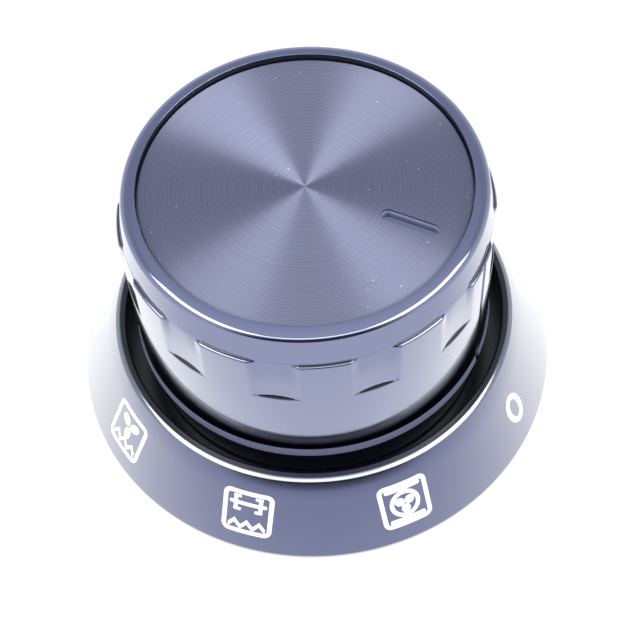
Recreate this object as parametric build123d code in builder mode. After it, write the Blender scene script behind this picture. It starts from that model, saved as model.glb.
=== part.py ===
from build123d import *
import math
import os

# Oven selector knob: a fluted grip with a spun disc, turning in a flared ring.
# Millimetres. The origin is the centre of the ring's foot, +Z runs out along the shaft,
# and the pointer faces -Y.

# Grip, upwards from its bottom edge
body_r = 20.95
cap_wall = 2.4
foot_flare = 0.2
foot_height = 1.25
plain_height = 12.35
flute_height = 6.7
ledge = 0.42
band_height = 3.6
band_draft = 0.53
rim_chamfer_width = 0.62
rim_chamfer_height = 0.4
rim_width = 1.05
web_thickness = 2.0

# Flutes and index groove in the side of the grip
flute_count = 12
flute_depth = 0.25
flute_hollow_r = 56.0
runout_height = 1.3
runout_inset = 0.3
index_width = 0.8
index_depth = 0.15

# Spun disc and its pointer slot
disc_recess = 0.8
disc_thickness = 0.7
disc_fit = 0.1
disc_edge = 0.15
pointer_length = 6.55
pointer_width = 1.5
pointer_from_rim = 6.05

# Hub: collar, spigot and ribs inside the grip
collar_height = 5.65
collar_inset = 0.7
collar_wall = 1.6
collar_plate = 1.8
collar_lift = 0.6
spigot_fit = 0.1
spigot_wall = 1.6
spigot_height = 9.0
spider_count = 6
spider_thickness = 1.6
boss_wall = 1.5

# Running sleeve of the hub with its snap fingers
bearing_r = 10.0
bearing_clearance = 0.1
sleeve_wall = 1.6
sleeve_lift = 0.8
seat_width = 2.5
bead_width = 0.6
bead_height = 1.1
bead_clearance = 0.35
finger_count = 6
finger_slot = 1.6

# Shaft bush with its D-shaped socket, and the leaf spring in it
bush_r = 5.5
bush_flat = 4.8
bush_fit = 0.05
bush_lift = 1.2
bush_length = 20.0
socket_r = 3.1
socket_flat = 2.1
socket_depth = 17.0
socket_lead = 0.4
leaf_width = 3.2
leaf_thickness = 0.4
leaf_bow = 0.5
leaf_length = 10.0
leaf_mouth = 5.5
leaf_pocket = 0.7
leaf_fit = 0.05

# Flared ring around the grip
channel_gap = 1.5
lip_width = 1.15
lip_rise = 4.75
lip_bevel = 0.45
lip_inner_bevel = 0.4
shoulder_run = 1.1
shoulder_drop = 1.75
flare_run = 4.0
foot_band = 0.4
floor_thickness = 1.8
recess_depth = 3.2
channel_wall = 1.4
flare_wall = 1.9
groove_top = 0.7
groove_rib_count = 12
groove_rib_thickness = 1.0
floor_rib_count = 9
floor_rib_thickness = 1.2
floor_rib_clearance = 0.6
rib_lift = 1.0

# How far a cutter reaches past the surface that it cuts
cut_margin = 1.0

# Heights
floor_z = recess_depth + floor_thickness
collar_z = floor_z + collar_height
flute_z = collar_z + plain_height
ledge_z = flute_z + flute_height
rim_edge_z = ledge_z + band_height
top_z = rim_edge_z + rim_chamfer_height
seat_z = top_z - disc_recess - disc_thickness
web_z = seat_z - web_thickness
lip_z = floor_z + lip_rise
shoulder_z = lip_z - shoulder_drop

# Radii
foot_r = body_r + foot_flare
band_r = body_r - ledge
rim_r = band_r - band_draft
rim_flat_r = rim_r - rim_chamfer_width
rim_inner_r = rim_flat_r - rim_width
cap_bore_r = body_r - cap_wall
spigot_r = cap_bore_r - spigot_fit
collar_r = body_r - collar_inset
sleeve_r = bearing_r - bearing_clearance
sleeve_inner_r = sleeve_r - sleeve_wall
bead_r = sleeve_r + bead_width
boss_r = bush_r + bush_fit + boss_wall
channel_r = foot_r + channel_gap
lip_r = channel_r + lip_width
shoulder_r = lip_r + shoulder_run
bezel_r = shoulder_r + flare_run

# Wedge that runs one flute out into the band, between the two pads beside it
half_pitch = 180 / flute_count
runout_angle = half_pitch - 2 * math.degrees(runout_inset / body_r)
with BuildPart() as flute_runout:
    with BuildSketch(Plane.XZ):
        with BuildLine():
            Polyline(
                (band_r, ledge_z),
                (body_r, ledge_z - runout_height),
                (body_r + cut_margin, ledge_z - runout_height),
                (body_r + cut_margin, ledge_z),
                close=True,
            )
        make_face()
    revolve(axis=Axis.Z, revolution_arc=runout_angle)

# Grip: a cup with a flared foot and a rim, shallow hollow flutes, and an index groove
with BuildPart() as grip_cap:
    with BuildSketch(Plane.XZ):
        with BuildLine():
            Polyline(
                (cap_bore_r, collar_z),
                (foot_r, collar_z),
                (body_r, collar_z + foot_height),
                (body_r, ledge_z),
                (band_r, ledge_z),
                (rim_r, rim_edge_z),
                (rim_flat_r, top_z),
                (rim_inner_r, top_z),
                (rim_inner_r, seat_z),
                (0, seat_z),
                (0, web_z),
                (cap_bore_r, web_z),
                close=True,
            )
        make_face()
    revolve(axis=Axis.Z)
    with Locations((0, 0, flute_z)):
        with PolarLocations(body_r - flute_depth + flute_hollow_r, flute_count, start_angle=half_pitch - 90):
            Cylinder(
                flute_hollow_r,
                flute_height,
                align=(Align.CENTER, Align.CENTER, Align.MIN),
                mode=Mode.SUBTRACT,
            )
    with PolarLocations(0, flute_count, start_angle=half_pitch - 90 - runout_angle / 2):
        add(flute_runout.part, mode=Mode.SUBTRACT)
    with Locations((0, index_depth - body_r, collar_z - cut_margin)):
        Box(
            index_width,
            index_depth + foot_flare + cut_margin,
            ledge_z - collar_z + 2 * cut_margin,
            align=(Align.CENTER, Align.MAX, Align.MIN),
            mode=Mode.SUBTRACT,
        )

# Spun disc: a plate in the rim's recess, slotted through as the pointer
with BuildPart() as spun_disc:
    with Locations((0, 0, seat_z)):
        Cylinder(
            rim_inner_r - disc_fit,
            disc_thickness,
            align=(Align.CENTER, Align.CENTER, Align.MIN),
        )
    chamfer(spun_disc.edges().filter_by(GeomType.CIRCLE).sort_by(Axis.Z)[-1], disc_edge)
    with BuildSketch(Plane.XY.offset(seat_z)):
        with Locations((0, pointer_from_rim - rim_inner_r)):
            SlotOverall(pointer_length, pointer_width, rotation=90)
    extrude(amount=disc_thickness, mode=Mode.SUBTRACT)

# Hub: collar and spigot on a plate, a boss for the bush, and a sleeve that runs in the ring
plate_z = collar_z - collar_plate
bead_top_z = recess_depth - bead_clearance
bead_bottom_z = bead_top_z - bead_height
boss_top_z = bush_lift + bush_length + boss_wall
seat_r = sleeve_r + seat_width
with BuildPart() as hub:
    with BuildSketch(Plane.XZ):
        with BuildLine():
            Polyline(
                (0, boss_top_z),
                (boss_r, boss_top_z),
                (boss_r, collar_z),
                (spigot_r - spigot_wall, collar_z),
                (spigot_r - spigot_wall, collar_z + spigot_height),
                (spigot_r, collar_z + spigot_height),
                (spigot_r, collar_z),
                (collar_r, collar_z),
                (collar_r, floor_z + collar_lift),
                (collar_r - collar_wall, floor_z + collar_lift),
                (collar_r - collar_wall, plate_z),
                (seat_r, plate_z),
                (seat_r, floor_z),
                (sleeve_r, floor_z),
                (sleeve_r, bead_top_z),
                (bead_r, bead_top_z),
                (bead_r, bead_bottom_z),
                (sleeve_r, sleeve_lift),
                (sleeve_inner_r, sleeve_lift),
                (sleeve_inner_r, plate_z),
                (boss_r, plate_z),
                (boss_r, bush_lift),
                (0, bush_lift),
                close=True,
            )
        make_face()
    revolve(axis=Axis.Z)
    with BuildSketch(Plane.XY.offset(bush_lift)):
        Circle(bush_r + bush_fit)
        Rectangle(2 * (bush_r + bush_fit), 2 * (bush_flat + bush_fit), mode=Mode.INTERSECT)
    extrude(amount=bush_length, mode=Mode.SUBTRACT)
    spider_inner_r = boss_r - boss_wall / 2
    spider_outer_r = spigot_r - spigot_wall / 2
    with Locations((0, 0, plate_z)):
        with PolarLocations(spider_inner_r, spider_count):
            Box(
                spider_outer_r - spider_inner_r,
                spider_thickness,
                web_z - plate_z,
                align=(Align.MIN, Align.CENTER, Align.MIN),
            )
    with Locations((0, 0, sleeve_lift)):
        with PolarLocations(sleeve_inner_r - cut_margin, finger_count):
            Box(
                sleeve_wall + bead_width + 2 * cut_margin,
                finger_slot,
                recess_depth - sleeve_lift,
                align=(Align.MIN, Align.CENTER, Align.MIN),
                mode=Mode.SUBTRACT,
            )

# Shaft bush: a keyed insert with a D-shaped socket and a pocket for the leaf
leaf_z = bush_lift + leaf_mouth
with BuildPart() as shaft_bush:
    with BuildSketch(Plane.XY.offset(bush_lift)):
        Circle(bush_r)
        Rectangle(2 * bush_r, 2 * bush_flat, mode=Mode.INTERSECT)
    extrude(amount=bush_length)
    with BuildSketch(Plane.XY.offset(bush_lift)):
        Circle(socket_r)
        with Locations((0, socket_flat)):
            Rectangle(
                2 * socket_r,
                socket_flat + socket_r,
                align=(Align.CENTER, Align.MAX),
                mode=Mode.INTERSECT,
            )
    extrude(amount=socket_depth, mode=Mode.SUBTRACT)
    mouth_edges = shaft_bush.faces().sort_by(Axis.Z)[0].inner_wires()[0].edges()
    chamfer(mouth_edges, socket_lead)
    with Locations((0, socket_flat, leaf_z)):
        Box(
            leaf_width + 2 * leaf_fit,
            2 * leaf_pocket,
            leaf_length + 2 * leaf_fit,
            align=(Align.CENTER, Align.CENTER, Align.MIN),
            mode=Mode.SUBTRACT,
        )

# Leaf spring: a strip of spring steel, bowed into the socket
leaf_back = socket_flat + leaf_pocket
leaf_low_z = leaf_z + leaf_fit
leaf_high_z = leaf_low_z + leaf_length
leaf_mid_z = (leaf_low_z + leaf_high_z) / 2
with BuildPart() as shaft_spring:
    with BuildSketch(Plane.YZ):
        with BuildLine():
            ThreePointArc(
                (leaf_back, leaf_low_z),
                (leaf_back - leaf_bow, leaf_mid_z),
                (leaf_back, leaf_high_z),
            )
            Line((leaf_back, leaf_high_z), (leaf_back - leaf_thickness, leaf_high_z))
            ThreePointArc(
                (leaf_back - leaf_thickness, leaf_high_z),
                (leaf_back - leaf_thickness - leaf_bow, leaf_mid_z),
                (leaf_back - leaf_thickness, leaf_low_z),
            )
            Line((leaf_back - leaf_thickness, leaf_low_z), (leaf_back, leaf_low_z))
        make_face()
    extrude(amount=leaf_width / 2, both=True)

# Rib across the hollow of the flare
flare_slope = flare_run / (shoulder_z - foot_band)
groove_inner_r = channel_r + channel_wall
groove_outer_r = bezel_r - flare_wall
groove_z = (groove_outer_r - groove_inner_r - groove_top) / flare_slope
rib_bury = flare_wall / 2
with BuildPart() as groove_rib:
    with BuildSketch(Plane.XZ):
        with BuildLine():
            Polyline(
                (groove_inner_r - channel_wall / 2, rib_lift),
                (groove_outer_r - rib_lift * flare_slope + rib_bury, rib_lift),
                (groove_outer_r - groove_z * flare_slope + rib_bury, groove_z),
                (groove_inner_r - channel_wall / 2, groove_z),
                close=True,
            )
        make_face()
    extrude(amount=groove_rib_thickness / 2, both=True)

# Bezel: flared ring with a bevelled lip, a channel around the grip and a floor with the bearing
with BuildPart() as bezel:
    with BuildSketch(Plane.XZ) as bezel_section:
        with BuildLine():
            Line((bezel_r, 0), (bezel_r, foot_band))
            Line((bezel_r, foot_band), (shoulder_r, shoulder_z))
            TangentArc(
                (shoulder_r, shoulder_z),
                (lip_r, lip_z),
                tangent=(shoulder_r - bezel_r, shoulder_z - foot_band),
            )
            Polyline(
                (lip_r, lip_z),
                (channel_r, lip_z),
                (channel_r, floor_z),
                (bearing_r, floor_z),
                (bearing_r, recess_depth),
                (channel_r, recess_depth),
                (channel_r, 0),
                (groove_inner_r, 0),
                (groove_inner_r, groove_z),
                (groove_inner_r + groove_top, groove_z),
                (groove_outer_r, 0),
                (bezel_r, 0),
            )
        make_face()
        inner_lip_corner = bezel_section.vertices().group_by(Axis.Y)[-1].sort_by(Axis.X)[0]
        chamfer(inner_lip_corner, lip_inner_bevel)
        outer_lip_corner = bezel_section.vertices().group_by(Axis.Y)[-1].sort_by(Axis.X)[-1]
        chamfer(outer_lip_corner, lip_bevel)
    revolve(axis=Axis.Z)
    with PolarLocations(0, groove_rib_count):
        add(groove_rib.part)
    floor_rib_r = bead_r + floor_rib_clearance
    with Locations((0, 0, rib_lift)):
        with PolarLocations(floor_rib_r, floor_rib_count, start_angle=-90):
            Box(
                channel_r - floor_rib_r + channel_wall / 2,
                floor_rib_thickness,
                recess_depth - rib_lift + floor_thickness / 2,
                align=(Align.MIN, Align.CENTER, Align.MIN),
            )

# Labels and files
os.makedirs("parts", exist_ok=True)
pieces = {
    "bezel": bezel,
    "hub": hub,
    "shaft_bush": shaft_bush,
    "shaft_spring": shaft_spring,
    "grip_cap": grip_cap,
    "spun_disc": spun_disc,
}
for piece_name, piece in pieces.items():
    piece.part.label = piece_name
    export_step(piece.part, f"parts/{piece_name}.step")
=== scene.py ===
"""Oven selector knob: a fluted grip with a spun disc, turning in a printed flared ring."""

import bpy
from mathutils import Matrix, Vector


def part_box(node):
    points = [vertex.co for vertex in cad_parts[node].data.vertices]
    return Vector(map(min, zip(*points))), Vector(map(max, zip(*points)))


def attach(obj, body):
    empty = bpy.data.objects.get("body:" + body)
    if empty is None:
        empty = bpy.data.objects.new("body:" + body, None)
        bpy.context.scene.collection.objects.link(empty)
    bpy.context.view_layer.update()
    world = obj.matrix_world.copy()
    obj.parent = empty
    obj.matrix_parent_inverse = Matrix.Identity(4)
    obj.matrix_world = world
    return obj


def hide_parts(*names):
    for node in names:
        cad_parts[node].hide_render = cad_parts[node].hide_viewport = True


bl_info = {
    "name": "Oven selector knob",
    "version": (1, 0, 0),
    "blender": (4, 5, 0),
    "location": "View3D > Sidebar > Knob",
    "description": "Dresses the oven selector knob and sets up its studio",
    "category": "Object",
}

import math

import bmesh
import bpy
from bpy.props import FloatProperty, FloatVectorProperty, IntProperty, PointerProperty
from bpy.types import Operator, Panel, PropertyGroup
from mathutils import Matrix, Vector

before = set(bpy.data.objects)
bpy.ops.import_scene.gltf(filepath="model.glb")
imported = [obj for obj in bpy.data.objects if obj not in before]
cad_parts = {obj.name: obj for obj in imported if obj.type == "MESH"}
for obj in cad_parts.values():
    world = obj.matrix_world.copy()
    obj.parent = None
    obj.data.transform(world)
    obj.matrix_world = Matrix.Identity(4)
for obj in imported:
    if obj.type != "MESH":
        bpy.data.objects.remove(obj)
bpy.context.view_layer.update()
GRIP_LOW, GRIP_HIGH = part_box("grip_cap")
RING_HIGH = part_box("bezel")[1]
MM = 0.001
FULL_TURN = 2 * math.pi
# Faces that meet at more than this angle keep a sharp edge between them
SHARP = math.radians(28)


def linear(hex_colour):
    """Linear RGB of an sRGB colour that is written as six hex digits."""
    channels = [int(hex_colour[i : i + 2], 16) / 255 for i in (0, 2, 4)]
    return tuple(c / 12.92 if c <= 0.04045 else ((c + 0.055) / 1.055) ** 2.4 for c in channels)


def length(name, millimetres, description):
    """A length property, given in millimetres and kept in metres."""
    return FloatProperty(
        name=name,
        description=description,
        default=millimetres * MM,
        min=0.0,
        precision=5,
        subtype="DISTANCE",
        unit="LENGTH",
    )


def count(name, number, description):
    """A property for the number of like features."""
    return IntProperty(name=name, description=description, default=number, min=3, max=60)


def colour(name, hex_colour, description):
    """A colour property, given as an sRGB hex value and kept linear."""
    return FloatVectorProperty(
        name=name,
        description=description,
        default=linear(hex_colour),
        size=3,
        min=0.0,
        max=1.0,
        subtype="COLOR",
    )


class GripSizes(PropertyGroup):
    """Sizes of the fluted grip."""

    body_radius: length("Body radius", 20.95, "Radius of the pads and of the plain lower part")
    bore_radius: length("Bore radius", 18.55, "Radius inside the cup")
    foot_flare: length("Foot flare", 0.2, "How far the foot stands out past the body")
    foot_height: length("Foot height", 1.25, "Height of the flared foot")
    foot_round: length("Foot round", 0.5, "Softness of the bend above the foot")
    flute_start: length("Flute start", 23.0, "Height where the flutes begin")
    ledge_height: length("Ledge height", 29.7, "Height of the ledge above the pads")
    band_radius: length("Band radius", 20.53, "Radius of the smooth band at the ledge")
    rim_radius: length("Rim radius", 20.0, "Radius of the smooth band at its top")
    rim_edge: length("Rim edge", 33.3, "Height where the rim's crown begins")
    rim_flat_radius: length("Rim flat radius", 19.38, "Radius where the rim's crown turns flat")
    crown_round: length("Crown round", 0.36, "Softness of the rim's crown")
    rim_inner_radius: length("Rim inner radius", 18.33, "Radius of the recess for the disc")
    seat_height: length("Seat height", 32.2, "Height of the seat under the disc")
    web_height: length("Web height", 30.2, "Height of the cup's inside")
    flute_depth: length("Flute depth", 0.25, "Depth of a flute's middle")
    flute_hollow: length("Flute hollow", 56.0, "Radius of a flute's hollow")
    rim_fall: length("Rim fall", 0.05, "How much lower the rim's outer edge is than its inner edge")
    runout_height: length("Run-out height", 4.0, "Height over which a flute runs out into the band")
    runout_inset: length("Run-out inset", 0.9, "Distance from a pad to a flute's full run-out")
    index_width: length("Index width", 0.8, "Width of the index groove")
    index_depth: length("Index depth", 0.15, "Depth of the index groove")
    ledge_fall: length("Ledge fall", 0.15, "How much lower the ledge is at its outer edge")
    ledge_round: length("Ledge round", 0.18, "Softness of the pads' upper edges")
    edge_round: length("Edge round", 0.08, "Softness of the other moulded edges")
    flute_count: count("Flutes", 12, "Number of flutes")


class RingSizes(PropertyGroup):
    """Sizes of the flared ring."""

    foot_band: length("Foot band", 0.4, "Height of the upright edge at the foot")
    foot_round: length("Foot round", 0.1, "Softness of that edge's top")
    shoulder_radius: length("Shoulder radius", 24.9, "Radius where the flare meets the shoulder")
    shoulder_height: length("Shoulder height", 8.0, "Height where the flare meets the shoulder")
    shoulder_round: length("Shoulder round", 0.9, "Softness of the bend at the shoulder")
    lip_radius: length("Lip radius", 23.8, "Outer radius of the lip")
    lip_slope: length("Lip slope", 0.3, "Width of the slope on the lip's outer edge")
    lip_fall: length("Lip fall", 0.255, "Height of the slope on the lip's outer edge")
    lip_round: length("Lip round", 0.12, "Softness of that slope's edges")
    lip_inner_round: length("Lip inner round", 0.32, "Softness of the lip's inner edge")
    channel_radius: length("Channel radius", 22.65, "Radius of the channel around the grip")
    floor_top: length("Floor top", 5.0, "Height of the channel's floor")
    floor_bottom: length("Floor bottom", 3.2, "Height of the floor's underside")
    bearing_radius: length("Bearing radius", 10.0, "Radius of the bore in which the hub turns")
    groove_inner: length("Groove inner radius", 24.05, "Inner radius of the hollow under the flare")
    groove_outer: length("Groove outer radius", 27.0, "Outer radius of the hollow at the foot")
    groove_top: length("Groove top", 0.7, "Width of the hollow at its top")
    groove_rib_thickness: length("Hollow rib thickness", 1.0, "Thickness of a rib in the hollow")
    floor_rib_thickness: length("Floor rib thickness", 1.2, "Thickness of a rib under the floor")
    floor_rib_radius: length("Floor rib radius", 11.1, "Radius at which the floor ribs begin")
    rib_lift: length("Rib lift", 1.0, "Height of the ribs' lower edges")
    groove_rib_count: count("Hollow ribs", 12, "Number of ribs in the hollow")
    floor_rib_count: count("Floor ribs", 9, "Number of ribs under the floor")


class PrintSizes(PropertyGroup):
    """Sizes of the printed symbols."""

    box_size: length("Box size", 6.1, "Side of a symbol's frame")
    box_round: length("Box round", 0.9, "Corner radius of a symbol's frame")
    line: length("Line", 0.56, "Width of the frame's line")
    stroke: length("Stroke", 0.48, "Width of the lines inside a frame")
    slant: length("Slant", 3.5, "Distance of a symbol's centre from the shoulder")
    ink_height: length("Ink height", 0.03, "Height of the ink on the flare")
    ink_bite: length("Ink bite", 0.03, "Depth by which the ink keys into the flare")


class Finishes(PropertyGroup):
    """Colours of the knob's finishes."""

    grip: colour("Grip", "898EAA", "Metallised grip")
    foot: colour("Foot", "64667E", "Satin foot of the grip")
    ring: colour("Ring", "6F7493", "Lacquered ring")
    # The lip's film is brighter and more neutral than the flare's, which paints the lamp's highlight on
    # it whiter
    lip_highlight: colour("Lip", "92959E", "Polished lip of the ring")
    disc: colour("Disc", "9598B0", "Spun disc")
    # The disc's cut edges are painted: shade just below the face, light further down
    edge: colour("Edge", "0C0D12", "Burnished part of the disc's cut edges")
    painted_light_edge: colour("Torn edge", "8F94B0", "Torn part of the disc's cut edges")
    hub: colour("Hub", "0E101A", "Moulded hub")
    bush: colour("Bush", "CFCBBE", "Nylon bush")
    spring: colour("Spring", "B4B6BA", "Leaf spring")
    ink: colour("Ink", "FFFFFF", "Printed symbols")
    paper: colour("Paper", "FBFBFD", "Paper sweep under the knob")


class StageSettings(PropertyGroup):
    """Place, turn and lens of the camera."""

    front: FloatProperty(
        name="Front",
        description="Direction of the camera's view, turned from +Y",
        default=math.radians(-62.5),
        subtype="ANGLE",
        unit="ROTATION",
    )
    tilt: FloatProperty(
        name="Tilt",
        description="Camera's tilt up from straight down",
        default=math.radians(32.475),
        subtype="ANGLE",
        unit="ROTATION",
    )
    roll: FloatProperty(
        name="Roll",
        description="Camera's turn about its view",
        default=math.radians(-3.843),
        subtype="ANGLE",
        unit="ROTATION",
    )
    lens: FloatProperty(
        name="Lens",
        description="Focal length",
        default=84.375,
        min=10.0,
        unit="CAMERA",
    )
    place: FloatVectorProperty(
        name="Place",
        description="Camera's position",
        default=(-87.65 * MM, -46.397 * MM, 161.72 * MM),
        size=3,
        subtype="TRANSLATION",
        unit="LENGTH",
    )


def add_node(tree, kind, inputs=None, **settings):
    """Adds a node, sets its settings, and fills its inputs with values or links."""
    node = tree.nodes.new(kind)
    for name, value in settings.items():
        setattr(node, name, value)
    for key, value in (inputs or {}).items():
        if isinstance(value, bpy.types.NodeSocket):
            tree.links.new(value, node.inputs[key])
        else:
            node.inputs[key].default_value = value
    return node


def new_material(name, **constants):
    """A material with an empty Principled surface, whose constants stand on its own sockets."""
    material = bpy.data.materials.new(name)
    material.use_nodes = True
    tree = material.node_tree
    shader = tree.nodes["Principled BSDF"]
    for key, value in constants.items():
        socket = shader.inputs[key.replace("_", " ")]
        socket.default_value = (*value, 1.0) if socket.type == "RGBA" else value
    return material, tree, shader


def metallised_abs(name, base, rise_from, rise_to, smooth, hazy):
    """ABS with a thin metal film under clear lacquer.

    It is dark face on and bright at a glance, with a faint haze and orange peel. The film begins to
    brighten where a face has turned away by rise_from, and it is white at rise_to.
    """
    material, tree, shader = new_material(name, Metallic=1.0)
    place = add_node(tree, "ShaderNodeTexCoord").outputs["Object"]
    glance = add_node(tree, "ShaderNodeLayerWeight", {"Blend": 0.5})
    rise = add_node(
        tree,
        "ShaderNodeMapRange",
        {"Value": glance.outputs["Facing"], "From Min": rise_from, "From Max": rise_to},
        interpolation_type="SMOOTHSTEP",
    )
    film = add_node(
        tree,
        "ShaderNodeMix",
        {"Factor": rise.outputs["Result"], "A": (*base, 1.0), "B": (1.0, 1.0, 1.0, 1.0)},
        data_type="RGBA",
    )
    tree.links.new(film.outputs["Result"], shader.inputs["Base Color"])
    haze_size = 4 * MM
    haze = add_node(
        tree,
        "ShaderNodeTexNoise",
        {"Vector": place, "Scale": 1 / haze_size, "Detail": 4.0},
    )
    rough = add_node(
        tree,
        "ShaderNodeMapRange",
        {"Value": haze.outputs["Fac"], "To Min": smooth, "To Max": hazy},
    )
    peel_size = 0.7 * MM
    peel_depth = 0.01 * MM
    peel = add_node(
        tree,
        "ShaderNodeTexNoise",
        {"Vector": place, "Scale": 1 / peel_size, "Detail": 1.0},
    )
    bump = add_node(
        tree,
        "ShaderNodeBump",
        {"Height": peel.outputs["Fac"], "Strength": 0.15, "Distance": peel_depth},
    )
    tree.links.new(rough.outputs["Result"], shader.inputs["Roughness"])
    tree.links.new(bump.outputs["Normal"], shader.inputs["Normal"])
    return material


def spun_aluminium(base):
    """Aluminium turned on a lathe, with a few specks of dust.

    Its fine rings stretch each highlight into a fan. They are drawn a little coarser than they are,
    so that they show.
    """
    material, tree, shader = new_material(
        "spun_aluminium", Metallic=1.0, Anisotropic=1.0, Anisotropic_Rotation=0.25, Roughness=0.5
    )
    place = add_node(tree, "ShaderNodeTexCoord").outputs["Object"]
    flat = add_node(
        tree, "ShaderNodeVectorMath", {0: place, 1: (1.0, 1.0, 0.0)}, operation="MULTIPLY"
    )
    radius = add_node(
        tree, "ShaderNodeVectorMath", {0: flat.outputs["Vector"]}, operation="LENGTH"
    ).outputs["Value"]
    ring_pitch = 0.15 * MM
    ring_number = add_node(
        tree, "ShaderNodeMath", {0: radius, 1: 1 / ring_pitch}, operation="MULTIPLY"
    )
    rings = add_node(
        tree,
        "ShaderNodeTexNoise",
        {"W": ring_number.outputs["Value"], "Scale": 1.0, "Detail": 2.0, "Roughness": 0.7},
        noise_dimensions="1D",
    )
    feed_pitch = 0.21 * MM
    feed_share = 0.3
    turns = add_node(
        tree, "ShaderNodeMath", {0: radius, 1: FULL_TURN / feed_pitch}, operation="MULTIPLY"
    )
    marks = add_node(tree, "ShaderNodeMath", {0: turns.outputs["Value"]}, operation="SINE")
    cut = add_node(
        tree,
        "ShaderNodeMath",
        {0: marks.outputs["Value"], 1: feed_share, 2: rings.outputs["Fac"]},
        operation="MULTIPLY_ADD",
    )
    tone = add_node(
        tree,
        "ShaderNodeMapRange",
        {
            "Value": cut.outputs["Value"],
            "From Min": 0.1,
            "From Max": 0.9,
            "To Min": 0.7,
            "To Max": 1.3,
        },
    )
    tint = add_node(
        tree,
        "ShaderNodeVectorMath",
        {0: base, "Scale": tone.outputs["Result"]},
        operation="SCALE",
    )
    dust_spacing = 1.6 * MM
    dust_radius = 0.072 * MM
    dust = add_node(
        tree,
        "ShaderNodeTexVoronoi",
        {"Vector": place, "Scale": 1 / dust_spacing, "Randomness": 1.0},
        feature="F1",
    )
    speck = add_node(
        tree,
        "ShaderNodeMath",
        {0: dust.outputs["Distance"], 1: dust_radius / dust_spacing},
        operation="LESS_THAN",
    )
    dusted = add_node(
        tree,
        "ShaderNodeMix",
        {"Factor": speck.outputs["Value"], "A": tint.outputs["Vector"], "B": (0.9, 0.9, 0.95, 1.0)},
        data_type="RGBA",
    )
    tree.links.new(dusted.outputs["Result"], shader.inputs["Base Color"])
    tangent = add_node(tree, "ShaderNodeTangent", direction_type="RADIAL", axis="Z")
    tree.links.new(tangent.outputs["Tangent"], shader.inputs["Tangent"])
    # The tool leaves each ring with one flank that leans, by this much for each unit of radius
    flank_lean = 0.3
    lean = add_node(
        tree, "ShaderNodeBump", {"Height": radius, "Strength": 1.0, "Distance": flank_lean}
    )
    ring_depth = 0.01 * MM
    bump = add_node(
        tree,
        "ShaderNodeBump",
        {
            "Height": rings.outputs["Fac"],
            "Strength": 0.05,
            "Distance": ring_depth,
            "Normal": lean.outputs["Normal"],
        },
    )
    tree.links.new(bump.outputs["Normal"], shader.inputs["Normal"])
    return material


def shaded_cut_edge(dark, pale, high):
    """The disc's cut edges: dark just below the face as painted shade, pale further down as painted
    light.
    """
    material, tree, shader = new_material("shaded_cut_edge", IOR=1.45)
    place = add_node(tree, "ShaderNodeTexCoord").outputs["Object"]
    height = add_node(tree, "ShaderNodeSeparateXYZ", {"Vector": place})
    lit_band_top = high - 0.32 * MM
    shade_band_bottom = high - 0.22 * MM
    shade_blend = add_node(
        tree,
        "ShaderNodeMapRange",
        {"Value": height.outputs["Z"], "From Min": lit_band_top, "From Max": shade_band_bottom},
    )
    tint = add_node(
        tree,
        "ShaderNodeMix",
        {"Factor": shade_blend.outputs["Result"], "A": (*pale, 1.0), "B": (*dark, 1.0)},
        data_type="RGBA",
    )
    tree.links.new(tint.outputs["Result"], shader.inputs["Base Color"])
    streak_size = 0.2 * MM
    streaks = add_node(
        tree,
        "ShaderNodeTexNoise",
        {"Vector": place, "Scale": 1 / streak_size, "Detail": 2.0},
    )
    rough = add_node(
        tree,
        "ShaderNodeMapRange",
        {"Value": streaks.outputs["Fac"], "To Min": 0.3, "To Max": 0.45},
    )
    tree.links.new(rough.outputs["Result"], shader.inputs["Roughness"])
    return material


def moulded_plastic(name, base, smooth, dull, grain_size):
    """Injection-moulded plastic, with the fine spark-eroded grain of its mould in its gloss."""
    material, tree, shader = new_material(name, Base_Color=base, IOR=1.53)
    place = add_node(tree, "ShaderNodeTexCoord").outputs["Object"]
    grain_depth = 0.02 * MM
    grain = add_node(
        tree,
        "ShaderNodeTexNoise",
        {"Vector": place, "Scale": 1 / grain_size, "Detail": 3.0},
    )
    rough = add_node(
        tree,
        "ShaderNodeMapRange",
        {"Value": grain.outputs["Fac"], "To Min": smooth, "To Max": dull},
    )
    bump = add_node(
        tree,
        "ShaderNodeBump",
        {"Height": grain.outputs["Fac"], "Strength": 0.25, "Distance": grain_depth},
    )
    tree.links.new(rough.outputs["Result"], shader.inputs["Roughness"])
    tree.links.new(bump.outputs["Normal"], shader.inputs["Normal"])
    return material


def bare_abs_and_shade(base):
    """The moulded black ABS itself, where neither film nor lacquer covers it, and also laid as painted
    shade in recesses, corners and the ring's channel.
    """
    made = bpy.data.materials.get("bare_abs_and_shade")
    return made or moulded_plastic("bare_abs_and_shade", base, smooth=0.2, dull=0.3, grain_size=0.25 * MM)


def spring_steel(base):
    """Cold-rolled spring steel, with faint lines along the strip."""
    material, tree, shader = new_material("spring_steel", Base_Color=base, Metallic=1.0)
    place = add_node(tree, "ShaderNodeTexCoord").outputs["Object"]
    line_width = 0.15 * MM
    line_length = 3.75 * MM
    stretch = add_node(
        tree,
        "ShaderNodeMapping",
        {"Vector": place, "Scale": (1 / line_width, 1 / line_width, 1 / line_length)},
    )
    lines = add_node(
        tree, "ShaderNodeTexNoise", {"Vector": stretch.outputs["Vector"], "Scale": 1.0}
    )
    rough = add_node(
        tree,
        "ShaderNodeMapRange",
        {"Value": lines.outputs["Fac"], "To Min": 0.2, "To Max": 0.4},
    )
    tree.links.new(rough.outputs["Result"], shader.inputs["Roughness"])
    return material


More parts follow.
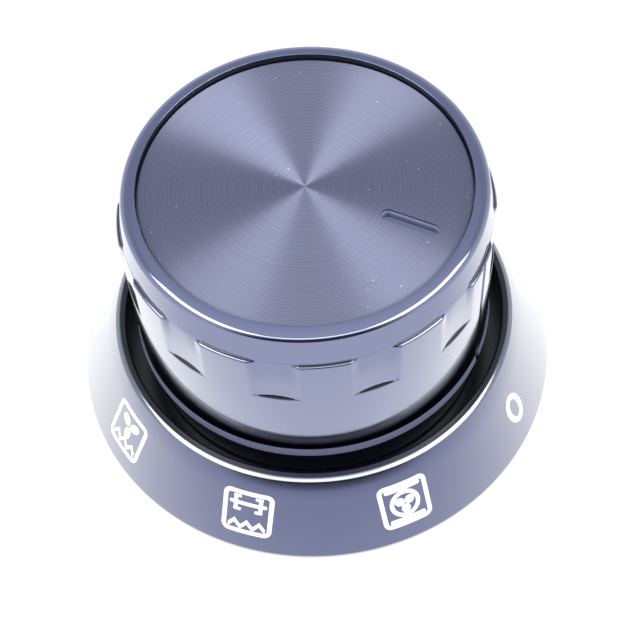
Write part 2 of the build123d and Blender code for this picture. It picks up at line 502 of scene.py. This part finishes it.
def pad_print_ink(base):
    """Opaque white pad-printing ink: matt, and a little uneven where the pad lifted."""
    material, tree, shader = new_material("pad_print_ink", IOR=1.5)
    place = add_node(tree, "ShaderNodeTexCoord").outputs["Object"]
    mottle_size = 0.5 * MM
    mottle = add_node(
        tree,
        "ShaderNodeTexNoise",
        {"Vector": place, "Scale": 1 / mottle_size, "Detail": 3.0},
    )
    tone = add_node(
        tree,
        "ShaderNodeMapRange",
        {"Value": mottle.outputs["Fac"], "To Min": 0.94, "To Max": 1.0},
    )
    tint = add_node(
        tree,
        "ShaderNodeVectorMath",
        {0: base, "Scale": tone.outputs["Result"]},
        operation="SCALE",
    )
    rough = add_node(
        tree,
        "ShaderNodeMapRange",
        {"Value": mottle.outputs["Fac"], "To Min": 0.45, "To Max": 0.65},
    )
    tree.links.new(tint.outputs["Vector"], shader.inputs["Base Color"])
    tree.links.new(rough.outputs["Result"], shader.inputs["Roughness"])
    return material


def paper_sweep(base):
    """Matt white paper with a faint tooth, lit from behind so that it stays white around the shadow."""
    material, tree, shader = new_material("paper_sweep", Base_Color=base, Roughness=0.9, IOR=1.3)
    place = add_node(tree, "ShaderNodeTexCoord").outputs["Object"]
    tooth_size = 0.6 * MM
    tooth_depth = 0.02 * MM
    glow_share = 0.75
    tooth = add_node(tree, "ShaderNodeTexNoise", {"Vector": place, "Scale": 1 / tooth_size})
    bump = add_node(
        tree,
        "ShaderNodeBump",
        {"Height": tooth.outputs["Fac"], "Strength": 0.1, "Distance": tooth_depth},
    )
    tree.links.new(bump.outputs["Normal"], shader.inputs["Normal"])
    glow = add_node(tree, "ShaderNodeEmission", {"Color": (1.0, 1.0, 1.0, 1.0), "Strength": 1.0})
    path = add_node(tree, "ShaderNodeLightPath")
    seen = add_node(
        tree,
        "ShaderNodeMath",
        {0: path.outputs["Is Camera Ray"], 1: path.outputs["Is Glossy Ray"]},
        operation="MAXIMUM",
    )
    through = add_node(
        tree,
        "ShaderNodeMath",
        {0: seen.outputs["Value"], 1: path.outputs["Is Transmission Ray"]},
        operation="MAXIMUM",
    )
    share = add_node(
        tree, "ShaderNodeMath", {0: through.outputs["Value"], 1: glow_share}, operation="MULTIPLY"
    )
    lit = add_node(
        tree,
        "ShaderNodeMixShader",
        {0: share.outputs["Value"], 1: shader.outputs["BSDF"], 2: glow.outputs["Emission"]},
    )
    tree.links.new(lit.outputs["Shader"], tree.nodes["Material Output"].inputs["Surface"])
    return material


def revolve(bm, corners, rounds, steps):
    """Spins a closed section about the Z axis. rounds gives the cut at a corner by its index."""
    verts = [bm.verts.new((radius, 0.0, height)) for radius, height in corners]
    for start, end in zip(verts, verts[1:] + verts[:1]):
        bm.edges.new((start, end))
    for index, cut in rounds.items():
        bmesh.ops.bevel(
            bm,
            geom=[verts[index]],
            offset=cut,
            offset_type="OFFSET",
            affect="VERTICES",
            segments=8,
            profile=0.5,
            material=-1,
        )
    bmesh.ops.spin(
        bm,
        geom=bm.verts[:] + bm.edges[:],
        cent=(0.0, 0.0, 0.0),
        axis=(0.0, 0.0, 1.0),
        angle=FULL_TURN,
        steps=steps,
        use_merge=True,
        use_duplicate=False,
    )
    weld = 0.001 * MM
    bmesh.ops.remove_doubles(bm, verts=bm.verts[:], dist=weld)
    bmesh.ops.recalc_face_normals(bm, faces=bm.faces[:])


def finish_piece(bm, name, material, body):
    """Makes an object of a bmesh, smooth but for its sharp edges, and lets it ride on its body."""
    for face in bm.faces:
        face.smooth = True
    for edge in bm.edges:
        edge.smooth = len(edge.link_faces) == 2 and edge.calc_face_angle() < SHARP
    mesh = bpy.data.meshes.new(name)
    bm.to_mesh(mesh)
    bm.free()
    mesh.materials.append(material)
    piece = bpy.data.objects.new(name, mesh)
    bpy.context.scene.collection.objects.link(piece)
    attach(piece, body)
    return piece


def smooth_copy(node, name, material, body):
    """A merged, smooth-shaded copy of a CAD node that stands for it."""
    bm = bmesh.new()
    bm.from_mesh(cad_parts[node].data)
    weld = 0.0005 * MM
    bmesh.ops.remove_doubles(bm, verts=bm.verts[:], dist=weld)
    piece = finish_piece(bm, name, material, body)
    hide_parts(node)


class KNOB_OT_grip(Operator):
    """Builds the fluted grip and its index groove"""

    bl_idname = "knob.grip"
    bl_label = "Fluted grip"

    def execute(self, context):
        size = context.scene.knob_grip
        bottom, top = GRIP_LOW.z, GRIP_HIGH.z
        corners = [
            (size.bore_radius, bottom),
            (size.body_radius + size.foot_flare, bottom),
            (size.body_radius, bottom + size.foot_height),
            *[(size.body_radius, height) for height in self.wall_rows(size)],
            (size.body_radius, size.ledge_height - size.ledge_fall),
            ((size.body_radius + size.band_radius) / 2, size.ledge_height - size.ledge_fall / 2),
            (size.band_radius, size.ledge_height),
            (size.rim_radius, size.rim_edge),
            (size.rim_flat_radius, top - size.rim_fall),
            (size.rim_inner_radius, top),
            (size.rim_inner_radius, size.seat_height),
            (0.0, size.seat_height),
            (0.0, size.web_height),
            (size.bore_radius, size.web_height),
        ]
        bm = bmesh.new()
        ledge = corners.index((size.body_radius, size.ledge_height - size.ledge_fall))
        rounds = {
            1: size.edge_round,
            2: size.foot_round,
            ledge: size.ledge_round,
            ledge + 2: size.edge_round,
            ledge + 3: size.crown_round,
            ledge + 4: size.crown_round,
            ledge + 5: size.edge_round,
        }
        revolve(bm, corners, rounds, steps=720)
        self.press_flutes(bm, size)
        self.cut_index(bm, size)
        finish = context.scene.knob_finish
        # Bare black plastic is laid as painted shade on the recess's wall and in the corners of the
        # steps, and the foot is satin
        near = size.edge_round / 4
        least_rise = 0.8
        bm.normal_update()
        for face in bm.faces:
            middle = face.calc_center_median()
            radius = math.hypot(middle.x, middle.y)
            off_recess = abs(radius - size.rim_inner_radius)
            in_recess = off_recess < near and middle.z > size.seat_height
            in_corner = near < radius - size.band_radius < size.body_radius - radius
            on_side = size.band_radius < radius < size.body_radius
            on_sill = on_side and middle.z < size.flute_start + size.edge_round
            faces_up = face.normal.z > least_rise and middle.z < size.ledge_height
            on_body = radius > size.body_radius - size.edge_round
            on_foot = on_body and middle.z < bottom + size.foot_height
            bare_or_shaded = in_recess or (faces_up and (in_corner or on_sill))
            face.material_index = 1 if bare_or_shaded else 2 if on_foot else 0
        film = metallised_abs(
            "metallised_abs", finish.grip, rise_from=0.44, rise_to=1.04, smooth=0.07, hazy=0.1
        )
        satin = moulded_plastic("satin_abs", finish.foot, smooth=0.35, dull=0.45, grain_size=0.25 * MM)
        piece = finish_piece(bm, "fluted_grip", film, "knob")
        piece.data.materials.append(bare_abs_and_shade(finish.hub))
        piece.data.materials.append(satin)
        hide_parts("grip_cap")
        return {"FINISHED"}

    def sill_rows(self, size):
        """Rows around a flute's sill: height above the flutes' start, and the deepest press there."""
        soft = size.edge_round
        sill_height = 0.02 * MM
        return [
            (-2 * soft, 0.0),
            (-soft, 0.0),
            (-0.3 * soft, 0.3 * soft),
            (0.0, soft),
            (sill_height, size.body_radius),
        ]

    def wall_rows(self, size):
        """Heights of the rows between the foot and the ledge, close together at each bend."""
        foot_top = GRIP_LOW.z + size.foot_height
        plain = [foot_top + size.foot_round * step for step in (1.2, 1.6, 2.4, 6.0, 12.0)]
        sill = [size.flute_start + rise for rise, press in self.sill_rows(size)]
        runout_start = size.ledge_height - size.runout_height
        fluted_rows = 4
        rise = (runout_start - size.flute_start) / fluted_rows
        fluted = [size.flute_start + rise * row for row in range(1, fluted_rows + 1)]
        runout_rows = 6
        rise = (size.runout_height - size.ledge_fall - 1.5 * size.ledge_round) / runout_rows
        runout = [runout_start + rise * row for row in range(1, runout_rows + 1)]
        return plain + sill + fluted + runout

    def press_flutes(self, bm, size):
        """Moves the wall between the flutes' start and the ledge in to the flutes' hollows."""
        pitch = FULL_TURN / size.flute_count
        bend = 0.5 / size.flute_hollow + 0.5 / size.body_radius
        half_width = math.sqrt(size.flute_depth / bend)
        ledge = size.body_radius - size.band_radius
        margin = 0.005 * MM
        rows = self.sill_rows(size)
        for vert in bm.verts:
            radius = math.hypot(vert.co.x, vert.co.y)
            rise = vert.co.z - size.flute_start
            if rise < rows[0][0] - margin or vert.co.z > size.ledge_height + margin:
                continue
            if radius < size.band_radius + margin:
                continue
            limits = (press for height, press in rows if abs(rise - height) < margin)
            limit = next(limits, size.body_radius)
            turn = math.atan2(vert.co.y, vert.co.x) + math.pi / 2
            across = size.body_radius * ((turn % pitch) - pitch / 2)
            depth = max(size.flute_depth - bend * across**2, 0.0)
            inside = min(max((half_width - abs(across)) / size.runout_inset, 0.0), 1.0)
            near_ledge = max(1.0 - (size.ledge_height - vert.co.z) / size.runout_height, 0.0)
            runout = max(ledge * inside - depth, 0.0) * near_ledge**2
            press = min(depth + runout, limit, radius - size.band_radius)
            vert.co.x *= 1.0 - press / radius
            vert.co.y *= 1.0 - press / radius

    def cut_index(self, bm, size):
        """Cuts the index groove into the side that the pointer faces."""
        half = size.index_width / 2
        wall = size.index_depth - size.body_radius
        margin = 0.001 * MM
        reach = 1.6 * MM

        def near():
            faces = [
                f for f in bm.faces
                if f.calc_center_median().y < wall + reach
                and abs(f.calc_center_median().x) < 3 * half
                and f.calc_center_median().z < size.ledge_height + margin
            ]
            verts = {v for f in faces for v in f.verts}
            edges = {e for f in faces for e in f.edges}
            return [*verts, *edges, *faces]

        planes = [
            ((half, 0, 0), (1, 0, 0)),
            ((-half, 0, 0), (1, 0, 0)),
            ((0, wall, 0), (0, 1, 0)),
        ]
        for point, normal in planes:
            bmesh.ops.bisect_plane(bm, geom=near(), dist=margin, plane_co=point, plane_no=normal)
        inside = [
            f for f in bm.faces
            if abs(f.calc_center_median().x) < half
            and f.calc_center_median().y < wall - margin
            and f.calc_center_median().z < size.ledge_height + margin
        ]
        made = bmesh.ops.extrude_face_region(bm, geom=inside)
        for item in made["geom"]:
            if isinstance(item, bmesh.types.BMVert):
                item.co.y = wall
        bmesh.ops.delete(bm, geom=inside, context="FACES")
        bmesh.ops.remove_doubles(bm, verts=bm.verts[:], dist=margin / 2)
        bmesh.ops.dissolve_degenerate(bm, edges=bm.edges[:], dist=margin / 2)
        bmesh.ops.recalc_face_normals(bm, faces=bm.faces[:])


class KNOB_OT_disc(Operator):
    """Gives the spun disc its finish"""

    bl_idname = "knob.disc"
    bl_label = "Spun disc"

    def execute(self, context):
        finish = context.scene.knob_finish
        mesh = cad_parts["spun_disc"].data
        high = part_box("spun_disc")[1].z
        mesh.materials.clear()
        mesh.materials.append(spun_aluminium(finish.disc))
        mesh.materials.append(shaded_cut_edge(finish.edge, finish.painted_light_edge, high))
        # Upright faces, the slot's walls and the outer edge, take the cut-edge colours with their
        # painted shade and light
        upright = 0.3
        for polygon in mesh.polygons:
            polygon.material_index = int(abs(polygon.normal.z) < upright)
        return {"FINISHED"}


class KNOB_OT_hub(Operator):
    """Builds the hub, the shaft bush and the leaf spring"""

    bl_idname = "knob.hub"
    bl_label = "Hub and shaft bush"

    def execute(self, context):
        finish = context.scene.knob_finish
        black = moulded_plastic("black_abs", finish.hub, smooth=0.2, dull=0.3, grain_size=0.25 * MM)
        nylon = moulded_plastic("natural_nylon", finish.bush, smooth=0.4, dull=0.55, grain_size=0.3 * MM)
        steel = spring_steel(finish.spring)
        smooth_copy("hub", "collar_hub", black, "knob")
        smooth_copy("shaft_bush", "keyed_bush", nylon, "knob")
        smooth_copy("shaft_spring", "leaf_spring", steel, "knob")
        return {"FINISHED"}


class KNOB_OT_ring(Operator):
    """Builds the flared ring with its ribs"""

    bl_idname = "knob.ring"
    bl_label = "Flared ring"

    def execute(self, context):
        size = context.scene.knob_ring
        foot_radius = RING_HIGH.x
        lip_top = RING_HIGH.z
        slope = (foot_radius - size.shoulder_radius) / (size.shoulder_height - size.foot_band)
        groove_height = (size.groove_outer - size.groove_inner - size.groove_top) / slope
        shoulder_lean = (size.shoulder_radius - size.lip_radius) / (lip_top - size.shoulder_height)
        corners = [
            (foot_radius, 0.0),
            (foot_radius, size.foot_band),
            (size.shoulder_radius, size.shoulder_height),
            (size.lip_radius + size.lip_fall * shoulder_lean, lip_top - size.lip_fall),
            (size.lip_radius - size.lip_slope, lip_top),
            (size.channel_radius, lip_top),
            (size.channel_radius, size.floor_top),
            (size.bearing_radius, size.floor_top),
            (size.bearing_radius, size.floor_bottom),
            (size.channel_radius, size.floor_bottom),
            (size.channel_radius, 0.0),
            (size.groove_inner, 0.0),
            (size.groove_inner, groove_height),
            (size.groove_inner + size.groove_top, groove_height),
            (size.groove_outer, 0.0),
        ]
        bm = bmesh.new()
        rounds = {
            2: size.shoulder_round,
            3: size.lip_round,
            4: size.lip_round,
            5: size.lip_inner_round,
            1: size.foot_round,
        }
        revolve(bm, corners, rounds, steps=360)
        self.add_ribs(bm, size, slope, groove_height)
        # The lacquer ends at the lip. Bare black plastic paints shade inside the lip and in the channel
        # and covers the underside, and a brighter film on the lip's outer slope paints its highlight
        # whiter
        bare_or_shaded_radius = size.lip_radius - size.lip_slope - size.lip_round / 2
        highlight_height = lip_top - size.lip_fall - size.lip_round / 2
        level = 0.01
        for face in bm.faces:
            middle = face.calc_center_median()
            bare_or_shaded = math.hypot(middle.x, middle.y) < bare_or_shaded_radius or face.normal.z < -level
            face.material_index = 1 if bare_or_shaded else 2 if middle.z > highlight_height else 0
        finish = context.scene.knob_finish
        lacquer = metallised_abs(
            "lacquered_abs", finish.ring, rise_from=0.16, rise_to=0.94, smooth=0.14, hazy=0.2
        )
        # A brighter film on the lip's outer slope paints the lamp's highlight there whiter
        highlight_film = metallised_abs(
            "highlight_abs", finish.lip_highlight, rise_from=0.3, rise_to=0.94, smooth=0.1, hazy=0.14
        )
        piece = finish_piece(bm, "flared_ring", lacquer, "ring")
        piece.data.materials.append(bare_abs_and_shade(finish.hub))
        piece.data.materials.append(highlight_film)
        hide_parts("bezel")
        return {"FINISHED"}

    def add_ribs(self, bm, size, slope, groove_height):
        """Adds the ribs in the flare's hollow and under the floor."""
        bury = 0.5 * MM
        groove_inner = size.groove_inner - bury
        groove_reach = size.groove_outer - size.rib_lift * slope + bury
        thickness = size.groove_rib_thickness
        for index in range(size.groove_rib_count):
            turn = FULL_TURN * index / size.groove_rib_count
            rib = self.add_rib(bm, size, turn, thickness, groove_inner, groove_reach, groove_height)
            for vert in rib["verts"]:
                radius = math.hypot(vert.co.x, vert.co.y)
                if vert.co.z > size.rib_lift + bury and radius > (groove_inner + groove_reach) / 2:
                    pull = 1.0 - slope * (groove_height - size.rib_lift) / radius
                    vert.co.x *= pull
                    vert.co.y *= pull
        floor_inner = size.floor_rib_radius
        floor_reach = size.channel_radius + bury
        floor_high = size.floor_bottom + bury
        thickness = size.floor_rib_thickness
        for index in range(size.floor_rib_count):
            turn = FULL_TURN * index / size.floor_rib_count - math.pi / 2
            self.add_rib(bm, size, turn, thickness, floor_inner, floor_reach, floor_high)

    def add_rib(self, bm, size, turn, thickness, inner, outer, high):
        """Adds one upright rib between two radii, from the ribs' lower edges up to a height."""
        middle = Matrix.Translation(((inner + outer) / 2, 0.0, (size.rib_lift + high) / 2))
        shape = Matrix.Diagonal((outer - inner, thickness, high - size.rib_lift, 1.0))
        place = Matrix.Rotation(turn, 4, "Z") @ middle @ shape
        return bmesh.ops.create_cube(bm, size=1.0, matrix=place)


class KNOB_OT_print(Operator):
    """Prints the symbols on the flare"""

    bl_idname = "knob.print"
    bl_label = "Printed symbols"

    def execute(self, context):
        self.size = context.scene.knob_print
        self.ring = context.scene.knob_ring
        first = math.radians(-92.6)
        step = math.radians(-40.0)
        drawings = [
            self.zero,
            self.fan_and_bars,
            self.spit_and_grill,
            self.fan_and_grill,
            self.grill,
            self.lower_bar,
            self.fan_and_lower_bar,
            self.both_bars,
            self.lamp,
        ]
        bm = bmesh.new()
        for index, draw in enumerate(drawings):
            flat = bmesh.new()
            draw(flat)
            self.lay_on_flare(flat, first + step * index)
            mesh = bpy.data.meshes.new("symbol")
            flat.to_mesh(mesh)
            flat.free()
            bm.from_mesh(mesh)
            bpy.data.meshes.remove(mesh)
        ink = pad_print_ink(context.scene.knob_finish.ink)
        finish_piece(bm, "printed_symbols", ink, "ring")
        return {"FINISHED"}

    def lay_on_flare(self, flat, azimuth):
        """Cuts a flat drawing into strips, gives it the ink's height and bends it to the flare."""
        strip = 0.5 * MM
        margin = 0.0005 * MM
        reach = int(self.size.box_size / strip / 2) + 1
        for index in range(-reach, reach + 1):
            bmesh.ops.bisect_plane(
                flat,
                geom=flat.verts[:] + flat.edges[:] + flat.faces[:],
                dist=margin,
                plane_co=(index * strip, 0.0, 0.0),
                plane_no=(1.0, 0.0, 0.0),
            )
        made = bmesh.ops.extrude_face_region(flat, geom=flat.faces[:])
        for vert in flat.verts:
            vert.co.z = -self.size.ink_bite
        for item in made["geom"]:
            if isinstance(item, bmesh.types.BMVert):
                item.co.z = self.size.ink_height
        bmesh.ops.recalc_face_normals(flat, faces=flat.faces[:])
        ring = self.ring
        run = Vector((RING_HIGH.x - ring.shoulder_radius, ring.foot_band - ring.shoulder_height))
        run.normalize()
        for vert in flat.verts:
            across, along, above = vert.co
            down = self.size.slant + along
            radius = ring.shoulder_radius + run.x * down - run.y * above
            height = ring.shoulder_height + run.y * down + run.x * above
            turn = azimuth - across / radius
            vert.co = (radius * math.cos(turn), radius * math.sin(turn), height)
        bmesh.ops.recalc_face_normals(flat, faces=flat.faces[:])

    def bar(self, bm, centre, size, corner):
        """A filled bar with rounded corners."""
        place = Matrix.Translation((*centre, 0.0))
        shape = Matrix.Diagonal((size[0], size[1], 1.0, 1.0))
        made = bmesh.ops.create_grid(bm, x_segments=1, y_segments=1, size=0.5, matrix=place @ shape)
        bmesh.ops.bevel(
            bm,
            geom=made["verts"],
            offset=corner,
            offset_type="OFFSET",
            affect="VERTICES",
            segments=5,
            profile=0.5,
            material=-1,
        )

    def frame_line(self, bm):
        """The frame around a symbol."""
        self.bar(bm, (0.0, 0.0), (self.size.box_size, self.size.box_size), self.size.box_round)
        bmesh.ops.inset_region(
            bm,
            faces=bm.faces[:],
            thickness=self.size.line,
            use_even_offset=True,
            use_boundary=True,
        )
        inner = min(bm.faces, key=lambda face: face.calc_center_median().length - face.calc_area())
        bmesh.ops.delete(bm, geom=[inner], context="FACES_ONLY")

    def annulus(self, bm, centre, outer, inner):
        """A ring whose outer and inner half-sizes are given across and along."""
        rim = bm.verts.new((1.0, 0.0, 0.0))
        hole = bm.verts.new((0.5, 0.0, 0.0))
        edge = bm.edges.new((hole, rim))
        before = set(bm.verts) - {rim, hole}
        bmesh.ops.spin(
            bm,
            geom=[rim, hole, edge],
            cent=(0.0, 0.0, 0.0),
            axis=(0.0, 0.0, 1.0),
            angle=FULL_TURN,
            steps=48,
            use_merge=True,
            use_duplicate=False,
        )
        made = [v for v in bm.verts if v not in before]
        rims = [v for v in made if v.co.length > 0.75]
        holes = [v for v in made if v.co.length <= 0.75]
        bmesh.ops.scale(bm, vec=(outer[0], outer[1], 1.0), verts=rims)
        bmesh.ops.scale(bm, vec=(2 * inner[0], 2 * inner[1], 1.0), verts=holes)
        bmesh.ops.translate(bm, vec=(*centre, 0.0), verts=made)

    def blades(self, bm, centre, reach, width):
        """Three fan blades, as leaves around a centre."""
        blade_count = 3
        half_length = 0.46 * reach
        out = Matrix.Translation((reach - half_length, 0.0, 0.0))
        shape = Matrix.Diagonal((half_length, width / 2, 1.0, 1.0))
        for index in range(blade_count):
            turn = Matrix.Rotation(math.pi / 2 + FULL_TURN * index / blade_count, 4, "Z")
            place = Matrix.Translation((*centre, 0.0)) @ turn @ out @ shape
            bmesh.ops.create_circle(bm, cap_ends=True, segments=24, radius=1.0, matrix=place)

    def zigzag(self, bm, along, width, depth, teeth):
        """A grill element: one stroke that runs up and down."""
        half = self.size.stroke * 0.7
        start = bm.verts.new((-width / 2, along - half, 0.0))
        end = bm.verts.new((-width / 2, along + half, 0.0))
        edge = bm.edges.new((start, end))
        for index in range(2 * teeth):
            made = bmesh.ops.extrude_edge_only(bm, edges=[edge])
            verts = [item for item in made["geom"] if isinstance(item, bmesh.types.BMVert)]
            sense = -1 if index % 2 == 0 else 1
            bmesh.ops.translate(bm, vec=(width / teeth / 2, sense * depth, 0.0), verts=verts)
            edges = [item for item in made["geom"] if isinstance(item, bmesh.types.BMEdge)]
            edge = next(e for e in edges if set(e.verts) == set(verts))

    def heat_bar(self, bm, along):
        """A straight heating element."""
        self.bar(bm, (0.0, along), (4.4 * MM, 0.6 * MM), 0.25 * MM)

    def zero(self, bm):
        """The off position."""
        self.annulus(bm, (0.0, 0.3 * MM), (1.55 * MM, 2.1 * MM), (0.8 * MM, 1.35 * MM))

    def fan_and_bars(self, bm):
        """Fan between the upper and the lower element."""
        self.frame_line(bm)
        self.heat_bar(bm, 2.2 * MM)
        self.heat_bar(bm, -2.2 * MM)
        self.annulus(bm, (0.0, 0.0), (1.88 * MM, 1.88 * MM), (1.35 * MM, 1.35 * MM))
        self.blades(bm, (0.0, 0.0), 1.3 * MM, 1.12 * MM)

    def spit_and_grill(self, bm):
        """Spit under the grill."""
        self.frame_line(bm)
        self.zigzag(bm, 2.2 * MM, 4.5 * MM, 0.85 * MM, 3)
        spit = -1.25 * MM
        self.bar(bm, (0.0, spit), (4.5 * MM, self.size.stroke), 0.2 * MM)
        for side in (-1, 1):
            for end in (-1, 1):
                arm = (side * 1.5 * MM, spit + end * 0.5 * MM)
                self.bar(bm, arm, (self.size.stroke, 0.45 * MM), 0.05 * MM)
                prong = (side * 1.3 * MM, spit + end * 0.92 * MM)
                self.bar(bm, prong, (0.95 * MM, 0.4 * MM), 0.15 * MM)

    def fan_and_grill(self, bm):
        """Fan under the grill."""
        self.frame_line(bm)
        self.zigzag(bm, 2.1 * MM, 4.5 * MM, 0.9 * MM, 3)
        self.blades(bm, (0.0, -0.75 * MM), 1.9 * MM, 1.2 * MM)

    def grill(self, bm):
        """Grill alone."""
        self.frame_line(bm)
        self.zigzag(bm, 2.1 * MM, 4.5 * MM, 0.9 * MM, 3)

    def lower_bar(self, bm):
        """Lower element alone."""
        self.frame_line(bm)
        self.heat_bar(bm, -2.0 * MM)

    def fan_and_lower_bar(self, bm):
        """Fan above the lower element."""
        self.frame_line(bm)
        self.heat_bar(bm, -2.1 * MM)
        self.blades(bm, (0.0, 0.5 * MM), 1.8 * MM, 1.15 * MM)

    def both_bars(self, bm):
        """Upper and lower element."""
        self.frame_line(bm)
        self.heat_bar(bm, 2.0 * MM)
        self.heat_bar(bm, -2.0 * MM)

    def lamp(self, bm):
        """Oven lamp."""
        self.frame_line(bm)
        self.annulus(bm, (0.0, 0.4 * MM), (1.35 * MM, 1.35 * MM), (0.85 * MM, 0.85 * MM))
        self.bar(bm, (0.0, -1.3 * MM), (1.2 * MM, 0.45 * MM), 0.12 * MM)
        self.bar(bm, (0.0, -1.95 * MM), (0.8 * MM, 0.4 * MM), 0.12 * MM)


class KNOB_OT_stage(Operator):
    """Sets up the paper, the lamps, the world and the camera"""

    bl_idname = "knob.stage"
    bl_label = "Studio"

    def execute(self, context):
        scene = context.scene
        settings = scene.knob_stage
        scene.view_settings.view_transform = "Standard"
        self.lay_paper(scene)
        self.hang_lamps(scene, settings)
        self.light_world(scene, settings)
        self.set_camera(scene, settings)
        return {"FINISHED"}

    def set_camera(self, scene, settings):
        """A camera that looks down on the knob."""
        camera = bpy.data.cameras.new("camera")
        camera.lens = settings.lens
        camera.sensor_width = 36.0
        camera.clip_start = 0.01
        camera.clip_end = 10.0
        holder = bpy.data.objects.new("camera", camera)
        turn = (
            Matrix.Rotation(settings.front, 4, "Z")
            @ Matrix.Rotation(settings.tilt, 4, "X")
            @ Matrix.Rotation(settings.roll, 4, "Z")
        )
        holder.matrix_world = Matrix.Translation(settings.place) @ turn
        scene.collection.objects.link(holder)
        scene.camera = holder

    def lay_paper(self, scene):
        """A round sheet of white paper, a hair below the knob's foot."""
        sheet_radius = 1.5
        drop = 0.02 * MM
        bm = bmesh.new()
        bmesh.ops.create_circle(bm, cap_ends=True, segments=96, radius=sheet_radius)
        mesh = bpy.data.meshes.new("paper")
        bm.to_mesh(mesh)
        bm.free()
        mesh.materials.append(paper_sweep(scene.knob_finish.paper))
        paper = bpy.data.objects.new("paper", mesh)
        paper.location.z = -drop
        scene.collection.objects.link(paper)

    def hang_lamps(self, scene, settings):
        """Soft boxes at both sides and a wide one above the camera, all at one distance."""
        # Name, degrees round from the camera's side, degrees up, width and height in metres, radiance
        lamps = [
            ("left_box", -73.0, 52.0, 0.52, 0.3, 4.6),
            ("right_box", 73.0, 52.0, 0.52, 0.3, 5.2),
            ("front_box", 0.0, 56.0, 0.8, 0.2, 2.6),
        ]
        distance = 0.7
        aim = Vector((0.0, 0.0, GRIP_LOW.z))
        for name, around, up, wide, high, radiance in lamps:
            lamp = bpy.data.lights.new(name, "AREA")
            lamp.shape = "RECTANGLE"
            lamp.size = wide
            lamp.size_y = high
            lamp.energy = math.pi * wide * high * radiance
            holder = bpy.data.objects.new(name, lamp)
            way = Vector((0.0, -1.0, 0.0))
            way.rotate(Matrix.Rotation(-math.radians(up), 3, "X"))
            way.rotate(Matrix.Rotation(math.radians(around) + settings.front, 3, "Z"))
            holder.location = aim + way * distance
            holder.rotation_euler = way.to_track_quat("Z", "Y").to_euler()
            scene.collection.objects.link(holder)

    def light_world(self, scene, settings):
        """A room that is white low down, grey above and bluish overhead, and dark behind the camera."""
        world = bpy.data.worlds.new("pale_room")
        world.use_nodes = True
        tree = world.node_tree
        ground = tree.nodes["Background"]
        way = add_node(tree, "ShaderNodeTexCoord").outputs["Generated"]
        front = Vector((0.0, -1.0, 0.0))
        front.rotate(Matrix.Rotation(settings.front, 3, "Z"))
        facing = add_node(tree, "ShaderNodeVectorMath", {0: way, 1: front}, operation="DOT_PRODUCT")
        dark = add_node(
            tree,
            "ShaderNodeMapRange",
            {
                "Value": facing.outputs["Value"],
                "From Min": 0.6,
                "From Max": 0.84,
                "To Min": 1.0,
                "To Max": 0.08,
            },
        )
        height = add_node(tree, "ShaderNodeSeparateXYZ", {"Vector": way})
        room = add_node(tree, "ShaderNodeValToRGB", {"Fac": height.outputs["Z"]})
        # Height, as the sine of the angle above the floor, and tone
        tones = [
            (0.0, (1.0, 1.0, 1.0)),
            (0.42, (0.92, 0.94, 1.0)),
            (0.56, (0.58, 0.61, 0.7)),
            (0.78, (0.52, 0.55, 0.64)),
            (0.88, (0.8, 0.85, 0.97)),
            (1.0, (0.9, 0.94, 1.0)),
        ]
        ramp = room.color_ramp.elements
        while len(ramp) < len(tones):
            ramp.new(1.0)
        for stop, (place, tone) in zip(ramp, tones):
            stop.position = place
            stop.color = (*tone, 1.0)
        tree.links.new(room.outputs["Color"], ground.inputs["Color"])
        tree.links.new(dark.outputs["Result"], ground.inputs["Strength"])
        scene.world = world


class KNOB_PT_panel(Panel):
    """Lists the knob's pieces and sizes"""

    bl_idname = "KNOB_PT_panel"
    bl_label = "Oven selector knob"
    bl_space_type = "VIEW_3D"
    bl_region_type = "UI"
    bl_category = "Knob"

    def draw(self, context):
        layout = self.layout
        for operator in OPERATORS:
            layout.operator(operator.bl_idname)
        for pointer, group in SETTINGS.items():
            box = layout.box()
            for name in group.__annotations__:
                box.prop(getattr(context.scene, pointer), name)


OPERATORS = [KNOB_OT_grip, KNOB_OT_disc, KNOB_OT_hub, KNOB_OT_ring, KNOB_OT_print, KNOB_OT_stage]
SETTINGS = {
    "knob_grip": GripSizes,
    "knob_ring": RingSizes,
    "knob_print": PrintSizes,
    "knob_finish": Finishes,
    "knob_stage": StageSettings,
}
CLASSES = [*SETTINGS.values(), *OPERATORS, KNOB_PT_panel]


def register():
    for cls in CLASSES:
        bpy.utils.register_class(cls)
    for pointer, group in SETTINGS.items():
        setattr(bpy.types.Scene, pointer, PointerProperty(type=group))


def unregister():
    for pointer in SETTINGS:
        delattr(bpy.types.Scene, pointer)
    for cls in reversed(CLASSES):
        bpy.utils.unregister_class(cls)


def main():
    register()
    bpy.ops.knob.grip()
    bpy.ops.knob.disc()
    bpy.ops.knob.hub()
    bpy.ops.knob.ring()
    bpy.ops.knob.print()
    bpy.ops.knob.stage()


if __name__ == "__main__":
    main()
